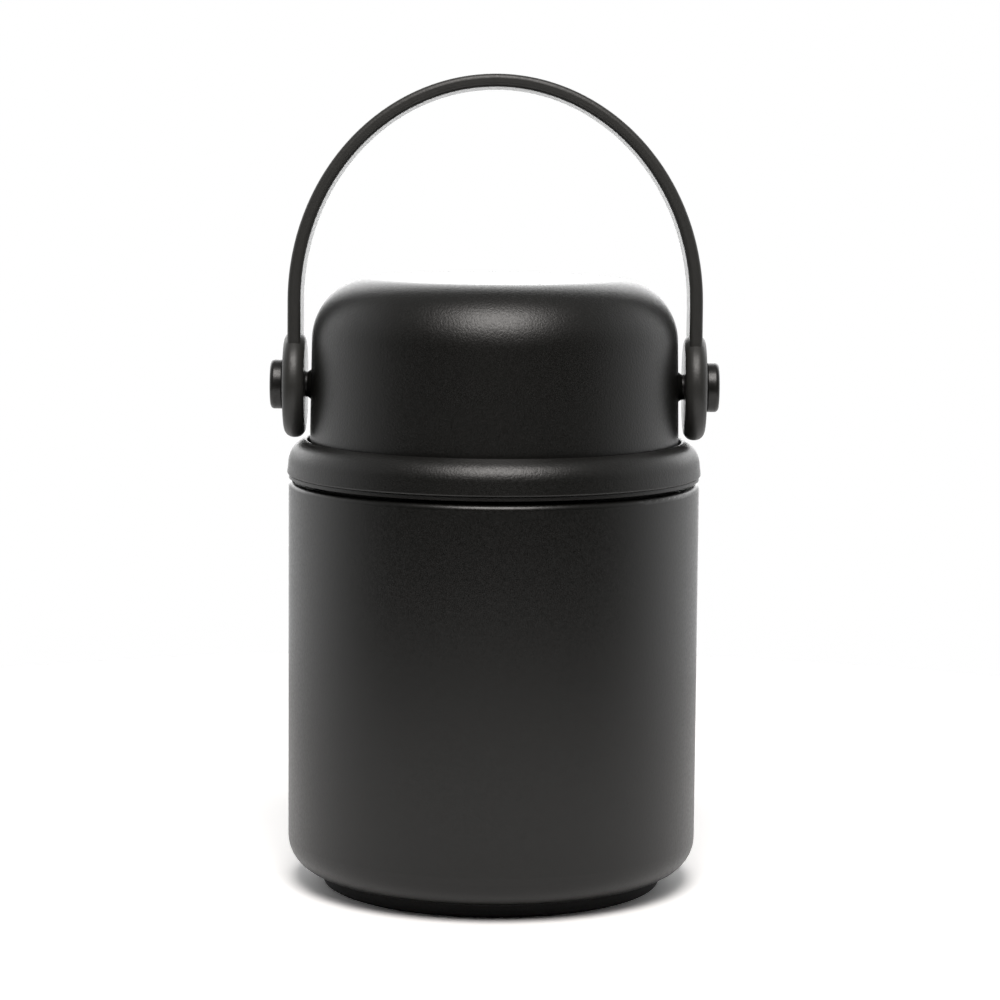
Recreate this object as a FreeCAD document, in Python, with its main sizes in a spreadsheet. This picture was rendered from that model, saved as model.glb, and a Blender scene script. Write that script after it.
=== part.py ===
# Insulated food jar with a domed screw-on cup and a carrying bail.
#
# Frame: millimetres, +Z up. The origin is the middle of the underside, on the surface that
# the jar stands on. The pivot pins of the bail lie along X, and -Y is the front.
import FreeCAD
import Part
import Sketcher
import math
import os

doc = FreeCAD.newDocument("FoodJar")
sheet = doc.addObject("Spreadsheet::Sheet", "Sizes")

# Dimensions, one row each: alias, value, what it is. A value that starts with = follows others.
ROWS = [
    # jar
    ("foot_height", 3.5, "underside of the steel above the table"),
    ("foot_inset", 0.5, "how far the rubber foot is set in from the edge of the flat underside"),
    ("foot_radius", "=body_radius - body_corner - foot_inset", "outer radius of the rubber foot"),
    ("foot_round", 0.8, "rounding of the foot's lower edge"),
    ("foot_rim", 11.5, "width of the foot's rim around its hollow"),
    ("foot_hollow_radius", "=foot_radius - foot_rim", "radius of the hollow under the foot"),
    ("foot_hollow_depth", 1.0, "depth of the hollow under the foot"),
    ("body_radius", 50.0, "outer radius of the steel body"),
    ("body_top", 98.8, "top of the steel rim"),
    ("body_corner", 8.0, "bottom corner radius of the body"),
    ("rim_round", 1.4, "rounding of the steel rim"),
    ("steel_wall", 0.8, "thickness of the steel sheet"),
    ("foot_lap", 3.5, "how far the foot laps onto the outer shell"),
    ("base_opening", "=foot_radius - foot_lap", "radius of the opening under the outer shell"),
    ("base_overlap", 2.8, "how far the base cup laps onto the outer shell"),
    ("mouth_inset", 4.4, "from the outside of the body to the inside of its mouth"),
    ("mouth_radius", "=body_radius - mouth_inset", "inner radius of the mouth, behind the thread"),
    ("ledge_width", 2.6, "width of the ledge that the lid gasket rests on"),
    ("cavity_radius", "=mouth_radius - ledge_width", "inner radius of the food container"),
    ("cavity_floor", 12.0, "height of the container's floor"),
    ("cavity_corner", 9.0, "corner radius of the container's floor"),
    ("ledge_depth", 14.8, "depth of that ledge below the rim"),
    ("ledge_height", "=body_top - ledge_depth", "height of that ledge"),
    ("dimple_depth", 2.0, "depth of the sealing dimple"),
    ("dimple_radius", 3.4, "inner radius of the sealing dimple"),
    ("pinhole_radius", 0.6, "radius of the hole the air was drawn through"),
    ("seal_height", 1.4, "height of the glass bead"),
    ("seal_edge", 0.4, "height of the glass bead at its edge"),
    ("seal_inset", 0.2, "room around the glass bead"),
    ("seal_bulge", 5.6, "radius of the glass bead's round underside"),
    ("getter_radius", 5.0, "radius of the getter capsule"),
    ("getter_height", 2.6, "height of the getter capsule"),
    ("getter_offset", 18.0, "distance of the getter from the middle"),
    # screw threads, all of the same lead
    ("thread_lead", 12.0, "rise in one turn"),
    ("thread_arc", 150.0, "arc of one thread ridge, degrees"),
    ("thread_depth", 1.2, "height of a thread ridge"),
    ("thread_root", 1.9, "width of a ridge at its foot"),
    ("thread_crest", 1.0, "width of a ridge at its tip"),
    ("thread_bite", 0.3, "how deep a ridge is rooted in its wall"),
    ("thread_play", 0.4, "radial room between a ridge's tip and the other wall"),
    ("lid_thread_lift", 3.4, "start of the jar's ridges above the bottom of the lid's skirt"),
    ("lid_thread_height", "=skirt_bottom + lid_thread_lift", "where the jar's ridges start"),
    ("cup_thread_lift", 3.7, "start of the cup's ridges above the groove that it stands in"),
    ("cup_thread_height", "=groove_floor + cup_thread_lift", "where the cup's ridges start"),
    # lid
    ("rim_gap", 0.9, "gap between the steel rim and the grip ring"),
    ("collar_bottom", "=body_top + rim_gap", "underside of the grip ring"),
    ("lip_inset", 0.1, "how far the thin lip under the grip ring is set in from the body"),
    ("lip_radius", "=body_radius - lip_inset", "radius of the thin lip"),
    ("lip_height", 0.8, "height of the thin lip"),
    ("lip_groove", 0.2, "depth of the fine groove above the lip"),
    ("lip_groove_width", 0.2, "width of the fine groove above the lip"),
    ("collar_overhang", 0.35, "how far the grip ring stands out from the body"),
    ("collar_radius", "=body_radius + collar_overhang", "radius of the grip ring just above the lip"),
    ("collar_draft", 0.25, "how much narrower the grip ring is where its shoulder starts"),
    ("collar_upper_radius", "=collar_radius - collar_draft", "radius of the grip ring there"),
    ("collar_side", 3.5, "from the underside of the grip ring up to its shoulder"),
    ("collar_shoulder_height", "=collar_bottom + collar_side", "where the shoulder starts"),
    ("collar_shoulder", 6.2, "radius of the grip ring's shoulder"),
    ("collar_edge", 0.4, "rounding of the grip ring's lower edge"),
    ("crest_round", 0.4, "rounding of the crest beside the cup"),
    ("groove_rise", 6.2, "from the underside of the grip ring up to the floor of its groove"),
    ("groove_floor", "=collar_bottom + groove_rise", "floor of the groove that the cup stands in"),
    ("cup_gap", 0.65, "gap between the cup and the crest around it"),
    ("drum_height", 8.7, "height of the drum that the cup screws onto, above the groove"),
    ("drum_top", "=groove_floor + drum_height", "top of that drum"),
    ("drum_edge", 0.8, "rounding of the drum's top edge"),
    ("lid_wall", 2.2, "wall of the lid moulding"),
    ("gasket_room", 2.4, "height of the room for the lid gasket"),
    ("skirt_bottom", "=ledge_height + gasket_room", "bottom of the lid's thread skirt"),
    ("pan_depth", 6.0, "how far the lid pan hangs below the skirt"),
    ("pan_bottom", "=skirt_bottom - pan_depth", "underside of the lid pan"),
    ("pan_wall", 1.6, "wall of the lid pan"),
    ("pan_corner", 3.0, "corner radius of the lid pan"),
    ("weld_gap", 0.2, "room between the lid pan and the skirt around it"),
    ("foam_gap", 0.2, "room around the foam block"),
    ("weld_lap", 6.0, "how far the lid pan reaches into the skirt"),
    ("gasket_edge", 0.5, "rounding of a gasket's edges"),
    ("gasket_gap", 0.1, "room above and below a gasket"),
    ("gasket_inset", 0.3, "room beside a gasket"),
    # valve
    ("button_radius", 6.5, "radius of the vent button"),
    ("button_rise", 2.6, "how far the button stands out of the drum"),
    ("button_depth", 4.0, "how deep the button's skirt reaches into the lid"),
    ("button_cap", 1.8, "thickness of the button's cap"),
    ("button_skirt", 1.2, "wall of the button's skirt"),
    ("button_gap", 0.3, "room around the button"),
    ("button_edge", 0.9, "rounding of the button's top edge"),
    ("button_travel", 1.8, "travel of the button"),
    ("well_room", 0.5, "room under the button's skirt when it is pressed"),
    ("stem_radius", 1.6, "radius of the valve stem"),
    ("stem_gap", 0.3, "room around the valve stem"),
    ("tube_wall", 1.6, "wall of the tube around the stem"),
    ("spring_radius", 3.2, "mean radius of the valve spring"),
    ("spring_wire", 0.7, "diameter of the spring wire"),
    ("spring_turns", 4.0, "turns of the valve spring"),
    ("vent_seal_radius", 5.0, "radius of the valve's rubber disc"),
    ("vent_seal_thickness", 1.5, "thickness of the valve's rubber disc"),
    ("vent_clip_radius", 3.2, "radius of the clip below the disc"),
    ("vent_clip_thickness", 0.8, "thickness of the clip below the disc"),
    ("stem_end", 0.5, "how far the stem stands out of its clip"),
    ("spring_room", 0.1, "room above and below the spring at rest"),
    # cup
    ("cup_lift", 1.8, "lower edge of the domed cup above the floor of its groove"),
    ("dome_bottom", "=groove_floor + cup_lift", "lower edge of the domed cup"),
    ("cup_inset", 5.15, "from the outside of the body in to the outside of the cup"),
    ("dome_radius", "=body_radius - cup_inset", "outer radius of the cup at its lower edge"),
    ("dome_draft", 0.45, "how much narrower the cup is where its top corner starts"),
    ("dome_height", 40.5, "height of the cup"),
    ("dome_top", "=dome_bottom + dome_height", "top of the cup"),
    ("dome_corner", 15.2, "radius of the cup's top corner"),
    ("dome_edge", 0.8, "rounding of the cup's lower edge"),
    ("dome_wall", 2.0, "wall of the cup's outer shell"),
    ("nut_room", 0.4, "room between the end of a pin and the bowl"),
    ("bowl_radius", "=nut_seat - nut_thickness - pin_end - nut_room - bowl_wall", "inner radius of the bowl"),
    ("bowl_wall", 1.6, "wall of the inner bowl"),
    ("bowl_corner", 11.0, "corner radius of the inner bowl"),
    ("bowl_gap", 2.6, "space between the two walls at the top of the cup"),
    ("flange_gap", 0.15, "room between the bowl's flange and the outer shell"),
    ("flange_rise", 0.4, "how far the bowl's flange is set up inside the cup"),
    ("cup_gasket_width", 2.8, "width of the cup's sealing ring"),
    # bail and its pivots
    ("eye_lift", 1.45, "lowest point of the bail's eyes above the cup's lower edge"),
    ("pivot_height", "=dome_bottom + eye_lift + eye_radius", "height of the pivot axis"),
    ("eye_radius", 12.9, "radius of the bail's eyes"),
    ("eye_play", 0.45, "gap between an eye and the flare on the cup"),
    ("eye_inner", "=dome_radius + boss_rise + eye_play", "inner face of an eye, from the middle"),
    ("eye_thickness", 5.2, "thickness of an eye"),
    ("eye_flat", 0.4, "width of the straight part of an eye's rim"),
    ("eye_round", "=(eye_thickness - eye_flat) / 2", "rounding of an eye's rim"),
    ("bush_gap", 0.07, "room between an eye and its bush"),
    ("eye_bore", "=bush_radius + bush_gap", "radius of the hole in an eye"),
    ("washer_recess", 0.45, "depth of the washer's recess in the eye"),
    ("washer_room", 0.4, "room around the washer in its recess"),
    ("washer_recess_radius", "=washer_radius + washer_room", "radius of the washer's recess"),
    ("washer_radius", 4.8, "radius of the friction washer"),
    ("washer_thickness", 0.6, "thickness of the friction washer"),
    ("washer_play", 0.05, "play of the eye against its washer"),
    ("bail_width", 16.0, "width of the bail's band"),
    ("bail_thickness", 3.15, "thickness of the bail's band"),
    ("bail_inset", 1.1, "how far the band is set in from the outer face of the eyes"),
    ("bail_half_span", "=eye_inner + eye_thickness - bail_inset", "outer face of the band, from the middle"),
    ("bail_arch_start", 20.4, "height above the pivot where the arch starts"),
    ("bail_arch_rise", 54.6, "rise of the arch's outer face"),
    ("bail_edge", 1.1, "rounding of the band's edges"),
    ("bail_lean", 2.7, "how far the bail leans back at rest, degrees"),
    ("pin_head_radius", 6.0, "radius of a pin's mushroom head"),
    ("pin_head_length", 3.1, "length of a pin's mushroom head"),
    ("pin_head_round", 1.0, "rounding of a pin's head"),
    ("pin_end", 0.2, "how far a shank stands out of its nut"),
    ("pin_radius", 2.0, "radius of a pin's shank"),
    ("pin_gap", 0.05, "room between a shank and its bush"),
    ("bush_radius", 3.05, "outer radius of a pivot bush"),
    ("boss_radius", 4.4, "radius of the flare where a bush leaves the cup"),
    ("boss_rise", 0.6, "height of that flare"),
    ("nut_across_flats", 7.0, "width of a nut"),
    ("nut_corner", "=nut_across_flats / sqrt(3)", "radius of a nut over its corners"),
    ("nut_wall", "=dome_radius - dome_draft - dome_wall", "inner radius of the cup beside a nut"),
    ("nut_seat", "=sqrt(nut_wall * nut_wall - nut_corner * nut_corner)", "outer face of a nut"),
    ("nut_thickness", 2.0, "thickness of a nut"),
]


class Size:
    """A size: its value now, and the formula that ties it to the sheet."""

    def __init__(self, value, formula):
        self.value = value
        self.formula = formula

    def __add__(self, other):
        other = size_of(other)
        return Size(self.value + other.value, f"({self.formula} + {other.formula})")

    def __sub__(self, other):
        other = size_of(other)
        return Size(self.value - other.value, f"({self.formula} - {other.formula})")

    def __rsub__(self, other):
        return size_of(other) - self

    def __mul__(self, other):
        other = size_of(other)
        return Size(self.value * other.value, f"({self.formula} * {other.formula})")

    def __truediv__(self, other):
        other = size_of(other)
        return Size(self.value / other.value, f"({self.formula} / {other.formula})")

    def __neg__(self):
        return size_of(0) - self

    __radd__ = __add__
    __rmul__ = __mul__


def size_of(number):
    return number if isinstance(number, Size) else Size(float(number), repr(float(number)))


def leg(hypotenuse, other_leg):
    """The second leg of a right triangle."""
    value = math.sqrt(hypotenuse.value ** 2 - other_leg.value ** 2)
    return Size(value, f"sqrt({hypotenuse.formula} ^ 2 - {other_leg.formula} ^ 2)")


class Sizes:
    """Every size in the sheet, by its alias."""


def fill_sheet():
    """Write the rows into the sheet and hand them back as sizes."""
    sizes = Sizes()
    for line, (alias, _, meaning) in enumerate(ROWS, start=1):
        sheet.set(f"A{line}", alias)
        sheet.set(f"C{line}", meaning)
        sheet.setAlias(f"B{line}", alias)
    for line, (_, value, _) in enumerate(ROWS, start=1):
        sheet.set(f"B{line}", str(value))
    doc.recompute()
    for alias, _, _ in ROWS:
        setattr(sizes, alias, Size(float(sheet.get(alias)), f"Sizes.{alias}"))
    return sizes


def bind(thing, prop, size):
    """Tie one property of an object to the sheet."""
    size = size_of(size)
    thing.setExpression(prop, size.formula)


def origin_plane(body, role):
    return [feature for feature in body.Origin.OriginFeatures if feature.Role == role][0]


def outline_sketch(sketch, points):
    """Draw a closed outline through the points, each (across, up) or (across, up, radius).

    A radius makes the stretch that ends at its point an arc. It bulges to the right of the
    way from the point before, or to the left where the radius is negative."""
    corners = [FreeCAD.Vector(size_of(p[0]).value, size_of(p[1]).value, 0) for p in points]
    for index, point in enumerate(points):
        start = corners[index - 1]
        end = corners[index]
        if len(point) == 2:
            sketch.addGeometry(Part.LineSegment(start, end), False)
            continue
        radius = size_of(point[2]).value
        chord = end - start
        sagitta = abs(radius) - math.sqrt(radius ** 2 - (chord.Length / 2) ** 2)
        side = FreeCAD.Vector(chord.y, -chord.x, 0).normalize() * math.copysign(sagitta, radius)
        sketch.addGeometry(Part.Arc(start, (start + end) * 0.5 + side, end), False)
    count = len(points)
    for index, point in enumerate(points):
        arc = len(point) == 3
        clockwise = arc and size_of(point[2]).value < 0
        end_vertex = 1 if clockwise else 2
        following = points[(index + 1) % count]
        next_clockwise = len(following) == 3 and size_of(following[2]).value < 0
        start_vertex = 2 if next_clockwise else 1
        join = Sketcher.Constraint("Coincident", index, end_vertex, (index + 1) % count, start_vertex)
        sketch.addConstraint(join)
        for axis, size in (("DistanceX", size_of(point[0])), ("DistanceY", size_of(point[1]))):
            place = Sketcher.Constraint(axis, -1, 1, index, end_vertex, size.value)
            number = sketch.addConstraint(place)
            sketch.setExpression(f"Constraints[{number}]", size.formula)
        if arc:
            radius = size_of(point[2])
            radius = -radius if radius.value < 0 else radius
            number = sketch.addConstraint(Sketcher.Constraint("Radius", index, radius.value))
            sketch.setExpression(f"Constraints[{number}]", radius.formula)


def new_body(name):
    body = doc.addObject("PartDesign::Body", name)
    body.Label = name
    return body


def new_sketch(body, name, role):
    sketch = body.newObject("Sketcher::SketchObject", name)
    sketch.AttachmentSupport = [(origin_plane(body, role), "")]
    sketch.MapMode = "FlatFace"
    return sketch


def turned(name, points):
    """A body turned about Z from an outline of (radius, height) points."""
    body = new_body(name)
    sketch = new_sketch(body, name + "_outline", "XZ_Plane")
    outline_sketch(sketch, points)
    turning = body.newObject("PartDesign::Revolution", name + "_turning")
    turning.Profile = (sketch, [""])
    turning.ReferenceAxis = (sketch, ["V_Axis"])
    turning.Angle = 360
    doc.recompute()
    return body


def ring_edges(shape, rings, along="z"):
    """Names of the round edges about an axis with these radii and places along it."""
    names = []
    for number, edge in enumerate(shape.Edges, start=1):
        curve = edge.Curve
        if not hasattr(curve, "Radius") or not hasattr(curve, "Center"):
            continue
        for radius, place in rings:
            near = abs(curve.Radius - size_of(radius).value) < 0.01
            if near and abs(getattr(curve.Center, along) - size_of(place).value) < 0.01:
                names.append(f"Edge{number}")
    return names


def rounded(body, radius, edges, name):
    """Round the named edges of a body's last feature."""
    if not edges:
        raise ValueError("no edge found for " + name)
    base = body.Tip
    fillet = body.newObject("PartDesign::Fillet", name)
    fillet.Base = (base, edges)
    fillet.Radius = radius.value
    bind(fillet, "Radius", radius)
    doc.recompute()
    return fillet


def helix_ridges(name, wall, tip, start_height, first_angle):
    """Three thread ridges between a wall's radius and their tips' radius."""
    outwards = 1.0 if tip.value > wall.value else -1.0
    root = wall - size.thread_bite * outwards
    ridges = []
    for start in range(3):
        sketch = doc.addObject("Sketcher::SketchObject", f"{name}_section_{start}")
        half_root = size.thread_root / 2
        half_crest = size.thread_crest / 2
        outline_sketch(sketch, [
            (root, start_height - half_root),
            (wall, start_height - half_root),
            (tip, start_height - half_crest),
            (tip, start_height + half_crest),
            (wall, start_height + half_root),
            (root, start_height + half_root),
        ])
        upright = FreeCAD.Rotation(FreeCAD.Vector(1, 0, 0), 90)
        sketch.Placement = FreeCAD.Placement(FreeCAD.Vector(), upright)
        helix = doc.addObject("Part::Helix", f"{name}_helix_{start}")
        bind(helix, "Pitch", size.thread_lead)
        bind(helix, "Height", size.thread_lead * size.thread_arc / 360)
        bind(helix, "Radius", wall)
        bind(helix, "Placement.Base.z", start_height)
        sweep = doc.addObject("Part::Sweep", f"{name}_ridge_{start}")
        sweep.Sections = [sketch]
        sweep.Spine = (helix, ["Edge1"])
        sweep.Solid = True
        sweep.Frenet = True
        turn = FreeCAD.Rotation(FreeCAD.Vector(0, 0, 1), first_angle + 120 * start)
        sweep.Placement = FreeCAD.Placement(FreeCAD.Vector(), turn)
        ridges.append(sweep)
    doc.recompute()
    return ridges


def fused(name, pieces):
    """One solid made of several."""
    whole = doc.addObject("Part::MultiFuse", name)
    whole.Shapes = pieces
    whole.Refine = False
    whole.Label = name
    doc.recompute()
    return whole


def cut(name, base, tool):
    result = doc.addObject("Part::Cut", name)
    result.Base = base
    result.Tool = tool
    result.Label = name
    doc.recompute()
    return result


def cylinder(name, radius, height, base, axis="z"):
    """A round bar that starts at base, an (x, y, z) of sizes, and runs along an axis."""
    bar = doc.addObject("Part::Cylinder", name)
    bar.Label = name
    turns = {
        "z": FreeCAD.Rotation(),
        "x": FreeCAD.Rotation(FreeCAD.Vector(0, 1, 0), 90),
        "-x": FreeCAD.Rotation(FreeCAD.Vector(0, 1, 0), -90),
    }
    bar.Placement = FreeCAD.Placement(FreeCAD.Vector(), turns[axis])
    bind(bar, "Radius", radius)
    bind(bar, "Height", height)
    for letter, place in zip("xyz", base):
        bind(bar, f"Placement.Base.{letter}", place)
    return bar


WAYS = {"right": (1, 0), "up": (0, 1), "left": (-1, 0), "down": (0, -1)}


def bend(across, up, radius, arriving, leaving):
    """The two points of a rounded square corner, for an outline that turns there."""
    arrive_x, arrive_y = WAYS[arriving]
    leave_x, leave_y = WAYS[leaving]
    turn = arrive_x * leave_y - arrive_y * leave_x
    first = (across - radius * arrive_x, up - radius * arrive_y)
    last = (across + radius * leave_x, up + radius * leave_y, radius * turn)
    return [first, last]


def turned_along_x(name, points):
    """A body turned about the pivot axis from an outline of (x, radius) points."""
    body = new_body(name)
    sketch = new_sketch(body, name + "_outline", "XZ_Plane")
    outline_sketch(sketch, points)
    turning = body.newObject("PartDesign::Revolution", name + "_turning")
    turning.Profile = (sketch, [""])
    turning.ReferenceAxis = (sketch, ["H_Axis"])
    turning.Angle = 360
    bind(body, "Placement.Base.z", size.pivot_height)
    doc.recompute()
    return body


def mirrored(name, source):
    """The left hand copy of a right hand piece."""
    copy = doc.addObject("Part::Mirroring", name)
    copy.Source = source
    copy.Normal = FreeCAD.Vector(1, 0, 0)
    copy.Label = name
    return copy


size = fill_sheet()

# Heights and radii that several pieces share
steel_inside = size.foot_height + size.steel_wall
mouth_outside = size.mouth_radius + size.steel_wall
plug_radius = size.mouth_radius - size.thread_depth - size.thread_play
skirt_inside = plug_radius - size.lid_wall
drum_radius = size.bowl_radius - size.thread_depth - size.thread_play
drum_inside = drum_radius - size.lid_wall
groove_outside = size.dome_radius + size.cup_gap
groove_underside = size.groove_floor - size.lid_wall
drum_underside = size.drum_top - size.lid_wall
button_hole = size.button_radius + size.button_gap
well_floor = size.drum_top - size.button_depth - size.button_travel - size.well_room
well_underside = well_floor - size.pan_wall
well_outside = button_hole + size.pan_wall
stem_hole = size.stem_radius + size.stem_gap
pan_radius = skirt_inside - size.weld_gap
tube_radius = stem_hole + size.tube_wall
flange_bottom = size.dome_bottom + size.flange_rise
eye_outer = size.eye_inner + size.eye_thickness
boss_face = size.dome_radius + size.boss_rise
washer_inner_face = eye_outer - size.washer_recess + size.washer_play
head_base = washer_inner_face + size.washer_thickness
shank_hole = size.pin_radius + size.pin_gap


# Jar: two steel shells with a vacuum between them

def make_outer_shell():
    """Drawn steel shell with a rolled rim, open at the mouth and under the base."""
    inner_corner = size.body_corner - size.steel_wall
    inside = size.body_radius - size.steel_wall
    return turned("outer_shell", [
        (size.base_opening, size.foot_height),
        *bend(size.body_radius, size.foot_height, size.body_corner, "right", "up"),
        *bend(size.body_radius, size.body_top, size.rim_round, "up", "left"),
        (mouth_outside, size.body_top),
        (mouth_outside, size.body_top - size.steel_wall),
        *bend(inside, size.body_top - size.steel_wall, size.rim_round - size.steel_wall, "right", "down"),
        *bend(inside, steel_inside, inner_corner, "down", "left"),
        (size.base_opening, steel_inside),
    ])


def make_inner_liner():
    """Food container with a ledge for the gasket and a rolled thread in its mouth."""
    wall = size.steel_wall
    liner = turned("inner_liner_wall", [
        (0, size.cavity_floor - wall),
        *bend(size.cavity_radius + wall, size.cavity_floor - wall, size.cavity_corner + wall, "right", "up"),
        (size.cavity_radius + wall, size.ledge_height - wall),
        (mouth_outside, size.ledge_height - wall),
        (mouth_outside, size.body_top),
        (size.mouth_radius, size.body_top),
        (size.mouth_radius, size.ledge_height),
        (size.cavity_radius, size.ledge_height),
        *bend(size.cavity_radius, size.cavity_floor, size.cavity_corner, "down", "left"),
        (0, size.cavity_floor),
    ])
    tip = size.mouth_radius - size.thread_depth
    ridges = helix_ridges("jar_thread", size.mouth_radius, tip, size.lid_thread_height, 0)
    return fused("inner_liner", [liner] + ridges)


def make_base_cup():
    """Pressed disc that closes the vacuum space, with its sealing dimple."""
    ceiling = steel_inside + size.dimple_depth
    slope_foot = size.dimple_radius + size.dimple_depth
    edge = size.base_opening + size.base_overlap
    wall = size.steel_wall
    return turned("base_cup", [
        (size.pinhole_radius, ceiling),
        (size.dimple_radius, ceiling),
        (slope_foot, steel_inside),
        (edge, steel_inside),
        (edge, steel_inside + wall),
        (slope_foot + wall, steel_inside + wall),
        (size.dimple_radius + wall, ceiling + wall),
        (size.pinhole_radius, ceiling + wall),
    ])


def make_vacuum_seal():
    """Bead of solder glass under the pinhole."""
    ceiling = steel_inside + size.dimple_depth
    radius = size.dimple_radius - size.seal_inset
    return turned("vacuum_seal", [
        (0, ceiling - size.seal_height),
        (radius, ceiling - size.seal_edge, size.seal_bulge),
        (radius, ceiling),
        (0, ceiling),
    ])


def make_getter():
    """Open capsule on the base cup, inside the vacuum."""
    foot = steel_inside + size.steel_wall
    can = cylinder("getter_can", size.getter_radius, size.getter_height, (size.getter_offset, 0, foot))
    hollow_radius = size.getter_radius - size.steel_wall
    hollow_base = (size.getter_offset, 0, foot + size.steel_wall)
    hollow = cylinder("getter_hollow", hollow_radius, size.getter_height, hollow_base)
    return cut("getter", can, hollow)


def make_foot_pad():
    """Rubber foot, set in from the wall, with a spigot in the opening of the shell."""
    spigot = size.base_opening - size.gasket_inset
    return turned("foot_pad", [
        (0, size.foot_hollow_depth),
        (size.foot_hollow_radius, size.foot_hollow_depth),
        (size.foot_hollow_radius, 0),
        *bend(size.foot_radius, 0, size.foot_round, "right", "up"),
        (size.foot_radius, size.foot_height),
        (spigot, size.foot_height),
        (spigot, steel_inside),
        (0, steel_inside),
    ])


# Inner lid: grip ring, thread skirt and the drum for the cup, filled with foam

def make_lid_shell():
    """Moulded lid: grip ring with its crest, thread skirt, drum and the well of the valve."""
    lip_top = size.collar_bottom + size.lip_height
    ring_bottom = lip_top + size.lip_groove_width
    groove_radius = size.lip_radius - size.lip_groove
    shoulder_middle = size.collar_upper_radius - size.collar_shoulder
    crest = size.collar_shoulder_height + leg(size.collar_shoulder, groove_outside - shoulder_middle)
    wall = turned("lid_wall_moulding", [
        (skirt_inside, size.skirt_bottom),
        (plug_radius, size.skirt_bottom),
        (plug_radius, size.collar_bottom),
        (size.lip_radius, size.collar_bottom),
        (size.lip_radius, lip_top),
        (groove_radius, lip_top),
        (groove_radius, ring_bottom),
        *bend(size.collar_radius, ring_bottom, size.collar_edge, "right", "up"),
        (size.collar_upper_radius, size.collar_shoulder_height),
        (groove_outside, crest, size.collar_shoulder),
        (groove_outside, size.groove_floor),
        (drum_radius, size.groove_floor),
        *bend(drum_radius, size.drum_top, size.drum_edge, "up", "left"),
        (button_hole, size.drum_top),
        (button_hole, well_floor),
        (stem_hole, well_floor),
        (stem_hole, well_underside),
        (well_outside, well_underside),
        (well_outside, drum_underside),
        (drum_inside, drum_underside),
        (drum_inside, groove_underside),
        (skirt_inside, groove_underside),
    ])
    rounded(wall, size.crest_round, ring_edges(wall.Shape, [(groove_outside, crest)]), "crest_rounding")
    gap = size.thread_lead / 6
    skirt_tip = plug_radius + size.thread_depth
    skirt_ridges = helix_ridges("lid_thread", plug_radius, skirt_tip, size.lid_thread_height - gap, 0)
    drum_tip = drum_radius + size.thread_depth
    drum_ridges = helix_ridges("drum_thread", drum_radius, drum_tip, size.cup_thread_height - gap, 0)
    return fused("lid_shell", [wall] + skirt_ridges + drum_ridges)


def make_lid_pan():
    """Pan that closes the lid from below, with the tube that guides the valve stem."""
    inside = pan_radius - size.pan_wall
    floor = size.pan_bottom + size.pan_wall
    inner_corner = size.pan_corner - size.pan_wall
    top = size.skirt_bottom + size.weld_lap
    return turned("lid_pan", [
        (stem_hole, size.pan_bottom),
        *bend(pan_radius, size.pan_bottom, size.pan_corner, "right", "up"),
        (pan_radius, top),
        (inside, top),
        *bend(inside, floor, inner_corner, "down", "left"),
        (tube_radius, floor),
        (tube_radius, well_underside),
        (stem_hole, well_underside),
    ])


def make_lid_foam():
    """Moulded foam that fills the lid between its shell and its pan."""
    gap = size.foam_gap
    floor = size.pan_bottom + size.pan_wall + gap
    outside = pan_radius - size.pan_wall - gap
    corner = size.pan_corner - size.pan_wall
    return turned("lid_foam", [
        (tube_radius + gap, floor),
        *bend(outside, floor, corner, "right", "up"),
        (outside, groove_underside - gap),
        (drum_inside - gap, groove_underside - gap),
        (drum_inside - gap, drum_underside - gap),
        (well_outside + gap, drum_underside - gap),
        (well_outside + gap, well_underside - gap),
        (tube_radius + gap, well_underside - gap),
    ])


def make_gasket(name, inside, outside, bottom, top):
    """Silicone ring with rounded edges."""
    edge = size.gasket_edge
    return turned(name, [
        *bend(inside, bottom, edge, "down", "right"),
        *bend(outside, bottom, edge, "right", "up"),
        *bend(outside, top, edge, "up", "left"),
        *bend(inside, top, edge, "left", "down"),
    ])


# Valve that lets steam out before the lid is turned

def make_vent_button():
    """Push button in one piece with its stem."""
    top = size.drum_top + size.button_rise
    cap_underside = top - size.button_cap
    skirt_end = size.drum_top - size.button_depth
    stem_end = valve_face() - size.vent_seal_thickness - size.vent_clip_thickness - size.stem_end
    return turned("vent_button", [
        (0, stem_end),
        (size.stem_radius, stem_end),
        (size.stem_radius, cap_underside),
        (size.button_radius - size.button_skirt, cap_underside),
        (size.button_radius - size.button_skirt, skirt_end),
        (size.button_radius, skirt_end),
        *bend(size.button_radius, top, size.button_edge, "up", "left"),
        (0, top),
    ])


def valve_face():
    """Height of the valve disc's upper face, just below the pan."""
    return size.pan_bottom - size.gasket_gap


def make_vent_disc(name, radius, top, thickness):
    """Flat ring on the valve stem."""
    return turned(name, [
        (size.stem_radius, top - thickness),
        (radius, top - thickness),
        (radius, top),
        (size.stem_radius, top),
    ])


def make_vent_spring():
    """Compression spring between the well's floor and the button's cap."""
    cap_underside = size.drum_top + size.button_rise - size.button_cap
    end_room = size.spring_wire / 2 + size.spring_room
    height = cap_underside - well_floor - end_room * 2
    coil = doc.addObject("Part::Helix", "spring_coil")
    bind(coil, "Height", height)
    bind(coil, "Pitch", height / size.spring_turns)
    bind(coil, "Radius", size.spring_radius)
    section = doc.addObject("Part::Circle", "spring_section")
    bind(section, "Radius", size.spring_wire / 2)
    upright = FreeCAD.Rotation(FreeCAD.Vector(1, 0, 0), 90)
    section.Placement = FreeCAD.Placement(FreeCAD.Vector(), upright)
    bind(section, "Placement.Base.x", size.spring_radius)
    spring = doc.addObject("Part::Sweep", "vent_spring")
    spring.Sections = [section]
    spring.Spine = (coil, ["Edge1"])
    spring.Solid = True
    spring.Frenet = True
    spring.Label = "vent_spring"
    bind(spring, "Placement.Base.z", well_floor + end_room)
    doc.recompute()
    return spring


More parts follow.
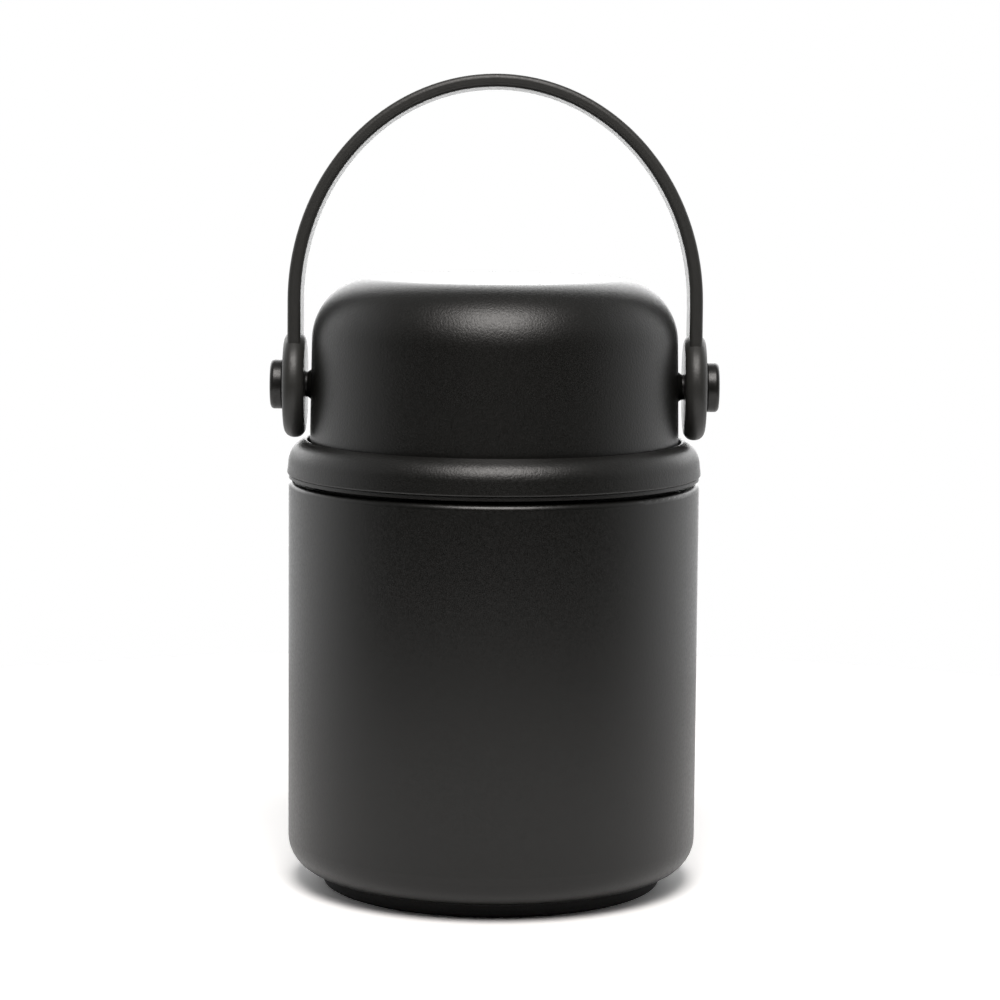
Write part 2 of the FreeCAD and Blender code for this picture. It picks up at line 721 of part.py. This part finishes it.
# Cup: a double wall of domed shell and bowl, screwed onto the drum

def make_dome_shell():
    """Domed outer shell with the two flares that the pivots leave it by."""
    side_top = size.dome_radius - size.dome_draft
    shoulder = size.dome_top - size.dome_corner
    ceiling = size.dome_top - size.dome_wall
    flat = side_top - size.dome_corner
    wall = turned("dome_wall_moulding", [
        (size.dome_radius - size.dome_wall, size.dome_bottom),
        *bend(size.dome_radius, size.dome_bottom, size.dome_edge, "right", "up"),
        (side_top, shoulder),
        (flat, size.dome_top, size.dome_corner),
        (0, size.dome_top),
        (0, ceiling),
        (flat, ceiling),
        (side_top - size.dome_wall, shoulder, -(size.dome_corner - size.dome_wall)),
    ])
    inner_face = side_top - size.dome_wall / 2
    flares = []
    holes = []
    for side, sign in (("right", 1), ("left", -1)):
        flare = doc.addObject("Part::Cone", f"dome_flare_{side}")
        turn = FreeCAD.Rotation(FreeCAD.Vector(0, 1, 0), 90 * sign)
        flare.Placement = FreeCAD.Placement(FreeCAD.Vector(), turn)
        bind(flare, "Radius1", size.boss_radius)
        bind(flare, "Radius2", size.bush_radius)
        bind(flare, "Height", boss_face - inner_face)
        bind(flare, "Placement.Base.x", inner_face * sign)
        bind(flare, "Placement.Base.z", size.pivot_height)
        flares.append(flare)
        reach = size.dome_wall * 4
        start = (boss_face - reach / 2) * sign
        way = "x" if sign > 0 else "-x"
        holes.append(cylinder(f"dome_hole_{side}", shank_hole, reach, (start, 0, size.pivot_height), way))
    shell = fused("dome_with_flares", [wall] + flares)
    return cut("dome_shell", shell, fused("dome_holes", holes))


def make_cup_liner():
    """Bowl inside the dome, with the cup's thread in its mouth and a flange to the shell."""
    outside = size.bowl_radius + size.bowl_wall
    flange_edge = size.dome_radius - size.dome_wall - size.flange_gap
    flange_top = flange_bottom + size.bowl_wall
    crown = size.dome_top - size.dome_wall - size.bowl_gap
    ceiling = crown - size.bowl_wall
    wall = turned("bowl_moulding", [
        (size.bowl_radius, flange_bottom),
        (flange_edge, flange_bottom),
        (flange_edge, flange_top),
        (outside, flange_top),
        *bend(outside, crown, size.bowl_corner + size.bowl_wall, "up", "left"),
        (0, crown),
        (0, ceiling),
        *bend(size.bowl_radius, ceiling, size.bowl_corner, "right", "down"),
    ])
    tip = size.bowl_radius - size.thread_depth
    ridges = helix_ridges("cup_thread", size.bowl_radius, tip, size.cup_thread_height, 0)
    return fused("cup_liner", [wall] + ridges)


# Pivots: a headed pin clamps a bush on the cup, and the bail's eye turns on the bush

def make_pivot_pin():
    start = size.nut_seat - size.nut_thickness - size.pin_end
    tip = head_base + size.pin_head_length
    return turned_along_x("pivot_pin_right", [
        (start, 0),
        (tip, 0),
        *bend(tip, size.pin_head_radius, size.pin_head_round, "up", "left"),
        *bend(head_base, size.pin_head_radius, size.pin_head_round / 2, "left", "down"),
        (head_base, size.pin_radius),
        (start, size.pin_radius),
    ])


def make_pivot_bush():
    return turned_along_x("pivot_bush_right", [
        (boss_face, shank_hole),
        (head_base, shank_hole),
        (head_base, size.bush_radius),
        (boss_face, size.bush_radius),
    ])


def make_pivot_washer():
    inside = size.bush_radius + size.pin_gap
    return turned_along_x("pivot_washer_right", [
        (washer_inner_face, inside),
        (head_base, inside),
        (head_base, size.washer_radius),
        (washer_inner_face, size.washer_radius),
    ])


def make_pivot_nut():
    """Thin hexagon nut against the inside of the dome."""
    blank = doc.addObject("Part::Prism", "nut_blank")
    blank.Polygon = 6
    along_x = FreeCAD.Rotation(FreeCAD.Vector(0, 1, 0), 90)
    blank.Placement = FreeCAD.Placement(FreeCAD.Vector(), along_x)
    bind(blank, "Circumradius", size.nut_corner)
    bind(blank, "Height", size.nut_thickness)
    bind(blank, "Placement.Base.x", size.nut_seat - size.nut_thickness)
    bind(blank, "Placement.Base.z", size.pivot_height)
    start = size.nut_seat - size.nut_thickness * 2
    hole = cylinder("nut_hole", shank_hole, size.nut_thickness * 3, (start, 0, size.pivot_height), "x")
    return cut("pivot_nut_right", blank, hole)


# Bail: an arched band with an eye at each end

def half_ellipse_block(name, half_span, rise):
    """A block with an elliptic outline, as wide as the band."""
    outline = doc.addObject("Part::Ellipse", name + "_outline")
    tall = rise.value > half_span.value
    long_way = FreeCAD.Vector(0, 0, 1) if tall else FreeCAD.Vector(1, 0, 0)
    short_way = FreeCAD.Vector(1, 0, 0) if tall else FreeCAD.Vector(0, 0, 1)
    facing = long_way.cross(short_way)
    turn = FreeCAD.Rotation(long_way, short_way, facing, "XYZ")
    outline.Placement = FreeCAD.Placement(FreeCAD.Vector(), turn)
    bind(outline, "MajorRadius", rise if tall else half_span)
    bind(outline, "MinorRadius", half_span if tall else rise)
    bind(outline, "Placement.Base.z", size.bail_arch_start)
    block = doc.addObject("Part::Extrusion", name)
    block.Base = outline
    block.DirMode = "Custom"
    block.Dir = FreeCAD.Vector(0, 1, 0)
    block.Solid = True
    bind(block, "LengthFwd", size.bail_width / 2)
    bind(block, "LengthRev", size.bail_width / 2)
    return block


def box(name, lengths, base):
    block = doc.addObject("Part::Box", name)
    for prop, length in zip(("Length", "Width", "Height"), lengths):
        bind(block, prop, length)
    for letter, place in zip("xyz", base):
        bind(block, f"Placement.Base.{letter}", place)
    return block


def make_bail_handle():
    """The bail about its own pivot axis, then set on the pivots with its lean."""
    inner_span = size.bail_half_span - size.bail_thickness
    inner_rise = size.bail_arch_rise - size.bail_thickness
    outer = half_ellipse_block("arch_outside", size.bail_half_span, size.bail_arch_rise)
    inner = half_ellipse_block("arch_inside", inner_span, inner_rise)
    ring = cut("arch_ring", outer, inner)
    side = size.bail_arch_rise * 3
    below = box("arch_below", (side, side, side), (-side / 2, -side / 2, size.bail_arch_start - side))
    arch = cut("arch", ring, below)
    leg_start = size.eye_radius / 2
    leg_lengths = (size.bail_thickness, size.bail_width, size.bail_arch_start - leg_start)
    right_leg = box("leg_right", leg_lengths, (inner_span, -size.bail_width / 2, leg_start))
    left_leg = box("leg_left", leg_lengths, (-size.bail_half_span, -size.bail_width / 2, leg_start))
    band = fused("band_sharp", [arch, right_leg, left_leg])
    edges = []
    for number, edge in enumerate(band.Shape.Edges, start=1):
        places = [edge.valueAt(edge.FirstParameter + part * (edge.LastParameter - edge.FirstParameter))
                  for part in (0.0, 0.5, 1.0)]
        on_face = all(abs(abs(place.y) - size.bail_width.value / 2) < 0.01 for place in places)
        across = abs(places[0].z - places[2].z) < 0.01 and abs(places[1].z - places[0].z) < 0.01
        if on_face and not across:
            edges.append((number, size.bail_edge.value, size.bail_edge.value))
    soft_band = doc.addObject("Part::Fillet", "band")
    soft_band.Base = band
    soft_band.Edges = edges
    doc.recompute()
    right_eye = turned_along_x("eye_right", [
        (size.eye_inner, size.eye_bore),
        (eye_outer - size.washer_recess, size.eye_bore),
        (eye_outer - size.washer_recess, size.washer_recess_radius),
        (eye_outer, size.washer_recess_radius),
        *bend(eye_outer, size.eye_radius, size.eye_round, "up", "left"),
        *bend(size.eye_inner, size.eye_radius, size.eye_round, "left", "down"),
    ])
    bind(right_eye, "Placement.Base.z", 0)
    left_eye = mirrored("eye_left", right_eye)
    bail = fused("bail_handle", [soft_band, right_eye, left_eye])
    lean = FreeCAD.Rotation(FreeCAD.Vector(1, 0, 0), -size.bail_lean.value)
    bail.Placement = FreeCAD.Placement(FreeCAD.Vector(), lean)
    bind(bail, "Placement.Base.z", size.pivot_height)
    doc.recompute()
    return bail


def make_pieces():
    """Every piece, in the order that the jar is put together."""
    pieces = [make_outer_shell(), make_inner_liner(), make_base_cup(), make_vacuum_seal()]
    pieces += [make_getter(), make_foot_pad()]
    gap = size.gasket_gap
    seal_inside = skirt_inside + size.gasket_inset
    seal_outside = size.mouth_radius - size.thread_depth - size.gasket_inset
    pieces.append(make_gasket("lid_gasket", seal_inside, seal_outside,
                              size.ledge_height + gap, size.skirt_bottom - gap))
    pieces += [make_lid_shell(), make_lid_foam(), make_lid_pan()]
    pieces += [make_vent_button(), make_vent_spring()]
    seal_top = valve_face()
    clip_top = seal_top - size.vent_seal_thickness
    pieces.append(make_vent_disc("vent_seal", size.vent_seal_radius, seal_top, size.vent_seal_thickness))
    pieces.append(make_vent_disc("vent_clip", size.vent_clip_radius, clip_top, size.vent_clip_thickness))
    ring_inside = size.bowl_radius + size.gasket_inset
    pieces.append(make_gasket("cup_gasket", ring_inside, ring_inside + size.cup_gasket_width,
                              size.groove_floor + gap, flange_bottom - gap))
    pieces += [make_dome_shell(), make_cup_liner()]
    for piece in (make_pivot_pin(), make_pivot_bush(), make_pivot_washer(), make_pivot_nut()):
        pieces.append(piece)
        pieces.append(mirrored(piece.Label.replace("_right", "_left"), piece))
    pieces.append(make_bail_handle())
    return pieces


pieces = make_pieces()
doc.recompute()
for thing in doc.Objects:
    if "Invalid" in thing.State or "Error" in thing.State:
        raise RuntimeError(f"{thing.Name} failed: {thing.State}")
for piece in pieces:
    if piece.Shape.isNull() or not piece.Shape.isValid() or not piece.Shape.Solids:
        raise RuntimeError(f"{piece.Label} has no valid solid")
os.makedirs("parts", exist_ok=True)
for piece in pieces:
    piece.Shape.exportStep(f"parts/{piece.Label}.step")
    print(f"{piece.Label}: {len(piece.Shape.Solids)} solid, {piece.Shape.Volume / 1000:.2f} cm3")
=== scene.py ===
import math

import bpy
from mathutils import Matrix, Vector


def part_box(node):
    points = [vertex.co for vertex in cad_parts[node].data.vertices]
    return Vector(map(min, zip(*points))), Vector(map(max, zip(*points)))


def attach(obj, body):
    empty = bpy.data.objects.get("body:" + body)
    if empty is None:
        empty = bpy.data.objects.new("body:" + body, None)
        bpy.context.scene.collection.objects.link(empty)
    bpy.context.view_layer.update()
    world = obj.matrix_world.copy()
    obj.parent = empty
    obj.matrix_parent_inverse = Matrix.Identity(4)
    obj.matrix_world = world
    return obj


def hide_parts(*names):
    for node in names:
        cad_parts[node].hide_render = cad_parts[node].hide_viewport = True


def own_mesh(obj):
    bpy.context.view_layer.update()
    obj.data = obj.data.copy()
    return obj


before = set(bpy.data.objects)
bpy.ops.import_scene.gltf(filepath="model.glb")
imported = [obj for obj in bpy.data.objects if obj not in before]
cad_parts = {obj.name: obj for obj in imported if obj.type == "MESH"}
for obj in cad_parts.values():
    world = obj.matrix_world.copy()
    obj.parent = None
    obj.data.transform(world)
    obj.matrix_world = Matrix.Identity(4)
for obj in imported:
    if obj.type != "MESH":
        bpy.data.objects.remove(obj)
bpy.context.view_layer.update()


# Studio: a round white table under a wide overhead softbox, with bright walls behind and beside
# the jar and an unlit room in front of it. The table keeps the jar's shadow, and what the camera
# sees beyond it is plain white.

def linear(code):
    """A colour given as sRGB hex, in Blender's linear values."""
    parts = [int(code[place:place + 2], 16) / 255 for place in (1, 3, 5)]
    levels = [part / 12.92 if part <= 0.04045 else ((part + 0.055) / 1.055) ** 2.4 for part in parts]
    return (*levels, 1.0)


def add(tree, kind, inputs=None, **settings):
    """Add a node with its settings. An input takes a value, or the socket that feeds it."""
    node = tree.nodes.new(kind)
    for name, value in settings.items():
        setattr(node, name, value)
    for name, value in (inputs or {}).items():
        if isinstance(value, bpy.types.NodeSocket):
            tree.links.new(value, node.inputs[name])
        else:
            node.inputs[name].default_value = value
    return node


def new_material(name):
    """A node material that holds only its output."""
    material = bpy.data.materials.new(name)
    material.use_nodes = True
    material.node_tree.nodes.clear()
    add(material.node_tree, "ShaderNodeOutputMaterial")
    return material


def finish_surface(material, shader):
    """Join a shader to the material's output."""
    tree = material.node_tree
    tree.links.new(shader.outputs[0], tree.nodes["Material Output"].inputs["Surface"])
    return material


def start_edit():
    """Nothing selected, and object mode."""
    if bpy.context.object and bpy.context.object.mode != "OBJECT":
        bpy.ops.object.mode_set(mode="OBJECT")
    bpy.ops.object.select_all(action="DESELECT")


def settle(piece):
    """Put a piece's place into its mesh, so that its object sits unturned at the origin."""
    start_edit()
    piece.select_set(True)
    bpy.context.view_layer.objects.active = piece
    bpy.ops.object.transform_apply(location=True, rotation=True, scale=True)


scene = bpy.context.scene
scene.view_settings.view_transform = "Standard"

CAMERA_PLACE = (0.001525, -0.8, 0.19017)
CAMERA_PITCH = 0.11957
CAMERA_ROLL = 0.008223
camera_data = bpy.data.cameras.new("camera")
camera_data.lens = 118.8
camera_data.sensor_width = 36.0
camera_data.clip_start = 0.05
camera_data.clip_end = 20.0
camera = bpy.data.objects.new("camera", camera_data)
scene.collection.objects.link(camera)
looking = Matrix.Rotation(math.pi / 2 - CAMERA_PITCH, 4, "X") @ Matrix.Rotation(CAMERA_ROLL, 4, "Z")
camera.matrix_world = Matrix.Translation(CAMERA_PLACE) @ looking
scene.camera = camera

# Each band of the room's light: the axis that it runs along, where it starts and stops there,
# with 1 straight behind the jar or straight up, and its strength at the start and the stop.
LIGHT_BANDS = {
    "walls": ("Y", -0.65, 0.5, 0.0, 1.0),
    "ceiling": ("Z", 0.45, 0.8, 1.0, 0.22),
    "above_table": ("Z", 0.05, 0.2, 0.0, 1.0),
    "screen": ("Y", 0.6, 0.8, 0.0, 1.7),
    "back_wall": ("Y", 0.95, 1.0, 0.0, 4.5),
}
SEEN_WHITE = 1.0
world = bpy.data.worlds.new("studio")
scene.world = world
world.use_nodes = True
sky = world.node_tree
sky.nodes.clear()
ways = add(sky, "ShaderNodeTexCoord")
split = add(sky, "ShaderNodeSeparateXYZ", {"Vector": ways.outputs["Generated"]})
bands = {}
for band_name, (axis, start, stop, strength_at_start, strength_at_stop) in LIGHT_BANDS.items():
    band = add(sky, "ShaderNodeMapRange", {
        "Value": split.outputs[axis], "From Min": start, "From Max": stop,
        "To Min": strength_at_start, "To Max": strength_at_stop,
    }, interpolation_type="SMOOTHSTEP")
    bands[band_name] = band.outputs["Result"]
lit_walls = add(sky, "ShaderNodeMath", {
    0: bands["above_table"], 1: bands["screen"], 2: bands["walls"],
}, operation="MULTIPLY_ADD")
room = add(sky, "ShaderNodeMath", {
    0: lit_walls.outputs["Value"], 1: bands["ceiling"], 2: bands["back_wall"],
}, operation="MULTIPLY_ADD")
ray = add(sky, "ShaderNodeLightPath")
strength = add(sky, "ShaderNodeMix", {
    "Factor": ray.outputs["Is Camera Ray"], "A": room.outputs["Value"], "B": SEEN_WHITE,
}, data_type="FLOAT")
background = add(sky, "ShaderNodeBackground", {
    "Color": (1.0, 1.0, 1.0, 1.0), "Strength": strength.outputs["Result"],
})
add(sky, "ShaderNodeOutputWorld", {"Surface": background.outputs["Background"]})

SOFTBOX_SIDE = 0.5
SOFTBOX_POWER = 7.2
SOFTBOX_WARM_WHITE = (1.0, 0.965, 0.94)
SOFTBOX_PLACE = (0.012, -0.46, 0.8)
SOFTBOX_TILT = math.radians(35.0)
softbox_data = bpy.data.lights.new("softbox", "AREA")
softbox_data.shape = "RECTANGLE"
softbox_data.size = SOFTBOX_SIDE
softbox_data.size_y = SOFTBOX_SIDE
softbox_data.energy = SOFTBOX_POWER
softbox_data.color = SOFTBOX_WARM_WHITE
softbox = bpy.data.objects.new("softbox", softbox_data)
softbox.location = SOFTBOX_PLACE
softbox.rotation_euler = (SOFTBOX_TILT, 0.0, 0.0)
scene.collection.objects.link(softbox)

# The table is white laminate. What the camera sees of it is lifted to plain white, and what it
# sends onto the jar stays that of real laminate.
TABLE_RADIUS = 0.34
LAMINATE_TONE = (0.8, 0.8, 0.8, 1.0)
MIRRORED_TONE = (0.95, 0.95, 0.95, 1.0)
SEEN_TONE = (1.35, 1.35, 1.35, 1.0)
start_edit()
bpy.ops.mesh.primitive_circle_add(vertices=128, radius=TABLE_RADIUS, fill_type="NGON")
table = bpy.context.object
table.name = "table"
table_white = new_material("table_white_laminate")
tree = table_white.node_tree
path = add(tree, "ShaderNodeLightPath")
bounced = add(tree, "ShaderNodeMix", {
    "Factor": path.outputs["Is Glossy Ray"], "A": LAMINATE_TONE, "B": MIRRORED_TONE,
}, data_type="RGBA")
tone = add(tree, "ShaderNodeMix", {
    "Factor": path.outputs["Is Camera Ray"], "A": bounced.outputs["Result"], "B": SEEN_TONE,
}, data_type="RGBA")
laminate = add(tree, "ShaderNodeBsdfDiffuse", {"Color": tone.outputs["Result"]})
finish_surface(table_white, laminate)
table.data.materials.append(table_white)


# Outer shell: deep drawn stainless steel, powder coated in matt black. The powder flows out to a
# fine orange peel that softens reflections and lets the softbox fade down the wall.

def dress(material, *names):
    """Give CAD nodes their material."""
    for name in names:
        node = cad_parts[name]
        if not node.material_slots:
            node.data.materials.append(material)
        for holder in node.material_slots:
            holder.material = material


# Noise stays mostly between these two values.
NOISE_LOW = 0.3
NOISE_HIGH = 0.7
CLOUD_MM = 30.0
GRAIN_GLOSS_CHANGE = 0.05


def grainy(name, colour, darker, roughness, grain_mm, height_mm, strength):
    """A dyed or coated surface: fine grain moves its height and gloss, and a wide cloud its tone."""
    material = new_material(name)
    tree = material.node_tree
    place = add(tree, "ShaderNodeTexCoord")
    grain = add(tree, "ShaderNodeTexNoise", {
        "Vector": place.outputs["Object"], "Scale": 1000.0 / grain_mm, "Detail": 2.0, "Roughness": 0.55,
    })
    cloud = add(tree, "ShaderNodeTexNoise", {
        "Vector": place.outputs["Object"], "Scale": 1000.0 / CLOUD_MM, "Detail": 3.0, "Roughness": 0.5,
    })
    mixed = add(tree, "ShaderNodeMix", {
        "Factor": cloud.outputs["Fac"], "A": linear(darker), "B": linear(colour),
    }, data_type="RGBA")
    rough = add(tree, "ShaderNodeMapRange", {
        "Value": grain.outputs["Fac"], "From Min": NOISE_LOW, "From Max": NOISE_HIGH,
        "To Min": roughness - GRAIN_GLOSS_CHANGE, "To Max": roughness + GRAIN_GLOSS_CHANGE,
    })
    height = add(tree, "ShaderNodeBump", {
        "Height": grain.outputs["Fac"], "Strength": strength, "Distance": height_mm / 1000.0,
    })
    shader = add(tree, "ShaderNodeBsdfPrincipled", {
        "Base Color": mixed.outputs["Result"], "Roughness": rough.outputs["Result"],
        "Normal": height.outputs["Normal"],
    })
    return finish_surface(material, shader)


powder_coat = grainy(
    "powder_coat_matt_black", "#141412", "#10100F", 0.33, grain_mm=0.7, height_mm=0.03, strength=0.5)
dress(powder_coat, "outer_shell")


# Inner liner, base cup, getter and pivot nuts: 18/8 stainless steel, spun and brushed round, so
# the scratches run in rings and stretch reflections up and down the wall. They are drawn 0.25 mm
# apart, coarser than the real ones, so that they show.

SCRATCH_MM = 0.25
SCRATCH_HEIGHT = 0.00001
SCRATCH_STRENGTH = 0.25
POLISHED_GLOSS_CHANGE = 0.06
SCRATCHED_GLOSS_CHANGE = 0.08


def ringed_steel(name, colour, roughness):
    """Steel with fine scratches that run round the jar's axis."""
    material = new_material(name)
    tree = material.node_tree
    place = add(tree, "ShaderNodeTexCoord")
    split = add(tree, "ShaderNodeSeparateXYZ", {"Vector": place.outputs["Object"]})
    flat = add(tree, "ShaderNodeCombineXYZ", {"X": split.outputs["X"], "Y": split.outputs["Y"]})
    reach = add(tree, "ShaderNodeVectorMath", {0: flat.outputs["Vector"]}, operation="LENGTH")
    rings = add(tree, "ShaderNodeCombineXYZ", {"X": reach.outputs["Value"], "Z": split.outputs["Z"]})
    scratch = add(tree, "ShaderNodeTexNoise", {
        "Vector": rings.outputs["Vector"], "Scale": 1000.0 / SCRATCH_MM, "Detail": 3.0, "Roughness": 0.6,
    })
    height = add(tree, "ShaderNodeBump", {
        "Height": scratch.outputs["Fac"], "Strength": SCRATCH_STRENGTH, "Distance": SCRATCH_HEIGHT,
    })
    rough = add(tree, "ShaderNodeMapRange", {
        "Value": scratch.outputs["Fac"], "From Min": NOISE_LOW, "From Max": NOISE_HIGH,
        "To Min": roughness - POLISHED_GLOSS_CHANGE, "To Max": roughness + SCRATCHED_GLOSS_CHANGE,
    })
    shader = add(tree, "ShaderNodeBsdfPrincipled", {
        "Base Color": linear(colour), "Metallic": 1.0, "Roughness": rough.outputs["Result"],
        "Normal": height.outputs["Normal"],
    })
    return finish_surface(material, shader)


brushed_steel = ringed_steel("brushed_stainless_steel", "#C6C3BD", 0.27)
dress(brushed_steel, "inner_liner", "base_cup", "getter", "pivot_nut_right", "pivot_nut_left")


# Vacuum seal: a bead of solder glass over the pinhole in the base cup. Fused in the furnace, it
# is grey brown, and glossy enough to catch a point of light.

solder_glass = grainy(
    "fused_solder_glass", "#5A4E42", "#463C33", 0.15, grain_mm=1.5, height_mm=0.01, strength=0.2)
dress(solder_glass, "vacuum_seal")


# Foot: black rubber, moulded and pressed into the opening under the shell. It is dull and drinks
# up light, so the jar ends in a dark line above the table.

foot_rubber = grainy(
    "moulded_black_rubber", "#0D0D0D", "#0A0A0A", 0.85, grain_mm=0.5, height_mm=0.03, strength=0.4)
dress(foot_rubber, "foot_pad")


# Gaskets and valve disc: pale grey silicone rubber, pressed in a polished tool. Its skin is
# smooth, with a soft sheen.

silicone = grainy(
    "pressed_grey_silicone", "#A3A29E", "#979691", 0.5, grain_mm=1.2, height_mm=0.01, strength=0.2)
dress(silicone, "lid_gasket", "vent_seal", "cup_gasket")


# Lid shell and cup shell: polypropylene moulded in a spark eroded tool. Its matt speckle shows
# where the softbox catches the shoulder.

moulded_black = grainy(
    "spark_textured_polypropylene", "#161614", "#121211", 0.38, grain_mm=0.5, height_mm=0.06, strength=1.0)
dress(moulded_black, "lid_shell", "dome_shell")


# Lid pan and foam: the pan that closes the lid is moulded in grey polypropylene, with a faint
# speckle. It holds a block of white foam, whose cells break up its surface.

pan_grey = grainy(
    "moulded_grey_polypropylene", "#3B3B3A", "#353534", 0.4, grain_mm=0.6, height_mm=0.02, strength=0.3)
dress(pan_grey, "lid_pan")
foam_white = grainy(
    "expanded_foam", "#D8D6CF", "#CBC9C1", 0.85, grain_mm=1.5, height_mm=0.15, strength=0.8)
dress(foam_white, "lid_foam")


# Valve button: moulded in grey with its stem, slightly satin, and held from below by a clip
# stamped from spring steel sheet, which is brighter and smoother than the liner.

button_grey = grainy(
    "moulded_grey_button", "#4A4A48", "#434341", 0.38, grain_mm=0.5, height_mm=0.02, strength=0.3)
dress(button_grey, "vent_button")
drawn_steel = ringed_steel("drawn_spring_steel", "#BDBAB4", 0.22)
dress(drawn_steel, "vent_clip")


# Valve spring: four turns of drawn stainless wire between the well's floor and the button.

WIRE_RADIUS = 0.00035
WIRE_SIDES = 16
SPRING_RADIUS = 0.0032
SPRING_TURNS = 4
STEPS_PER_TURN = 36
spring_foot, spring_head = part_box("vent_spring")
spring_height = spring_head.z - spring_foot.z
start_edit()
bpy.ops.mesh.primitive_circle_add(
    vertices=WIRE_SIDES, radius=WIRE_RADIUS, location=(SPRING_RADIUS, 0.0, spring_foot.z + WIRE_RADIUS),
    rotation=(math.pi / 2, 0.0, 0.0))
spring = bpy.context.object
spring.name = "vent_spring_wire"
settle(spring)
winding = spring.modifiers.new("winding", "SCREW")
winding.axis = "Z"
winding.angle = 2 * math.pi
winding.screw_offset = (spring_height - 2 * WIRE_RADIUS) / SPRING_TURNS
winding.iterations = SPRING_TURNS
winding.steps = STEPS_PER_TURN
winding.render_steps = STEPS_PER_TURN
bpy.ops.object.modifier_apply(modifier=winding.name)
bpy.ops.object.mode_set(mode="EDIT")
bpy.ops.mesh.select_all(action="SELECT")
bpy.ops.mesh.fill_holes(sides=0)
bpy.ops.mesh.select_all(action="SELECT")
bpy.ops.mesh.normals_make_consistent(inside=False)
bpy.ops.object.mode_set(mode="OBJECT")
bpy.ops.object.shade_smooth_by_angle(angle=math.radians(40.0))
spring.data.materials.append(drawn_steel)
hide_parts("vent_spring")
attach(spring, "lid")
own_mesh(spring)


# Bowl inside the cup: food grade polypropylene in dark grey, moulded against a polished core, so
# it is smoother than the outside and easy to wipe clean.

bowl_grey = grainy(
    "smooth_dark_polypropylene", "#2C2C2B", "#272726", 0.3, grain_mm=0.8, height_mm=0.01, strength=0.2)
dress(bowl_grey, "cup_liner")


# Pivots: steel pins with mushroom heads, under a satin black coat, turning in slim bushes and
# washers turned from acetal, which is a little duller.

pin_black = grainy(
    "black_coated_pin", "#1E1E1D", "#1A1A19", 0.33, grain_mm=0.5, height_mm=0.015, strength=0.3)
dress(pin_black, "pivot_pin_right", "pivot_pin_left")
acetal = grainy(
    "turned_black_acetal", "#1C1C1B", "#181817", 0.4, grain_mm=0.6, height_mm=0.02, strength=0.3)
dress(acetal, "pivot_bush_right", "pivot_bush_left", "pivot_washer_right", "pivot_washer_left")


# Bail: moulded in one piece of black nylon, with soft edges. The fine speckle of its tool makes
# it look a shade greyer than the cup.

bail_black = grainy(
    "moulded_black_nylon", "#353533", "#2E2E2D", 0.42, grain_mm=0.5, height_mm=0.04, strength=0.8)
dress(bail_black, "bail_handle")
